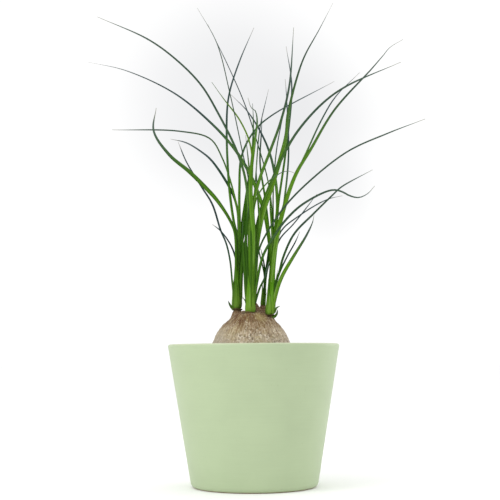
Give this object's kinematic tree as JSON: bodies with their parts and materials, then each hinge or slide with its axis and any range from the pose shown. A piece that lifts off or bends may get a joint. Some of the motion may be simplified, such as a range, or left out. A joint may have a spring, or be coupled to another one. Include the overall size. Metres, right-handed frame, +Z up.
{
  "type": "potted ponytail palm",
  "caption": "Young ponytail palm with a swollen corky base and tufts of long arching strap leaves, in a tapered pale green glazed pot.",
  "frame": {"origin": "middle of the pot's flat underside", "axes": "+Z up along the pot's axis, -Y towards the side that faces the viewer, +X to the viewer's right"},
  "size_m": [0.2579, 0.1899, 0.3837],
  "materials": {
    "glaze": "satin",
    "soil": "matte",
    "bark": "matte",
    "foliage": "satin"
  },
  "bodies": {
    "root": {"pot": "glaze", "potting_soil": "soil", "caudex": "bark", "leaf_head_left": "foliage", "leaf_head_centre": "foliage", "leaf_head_right": "foliage", "leaf_head_back": "foliage"}
  },
  "joints": []
}
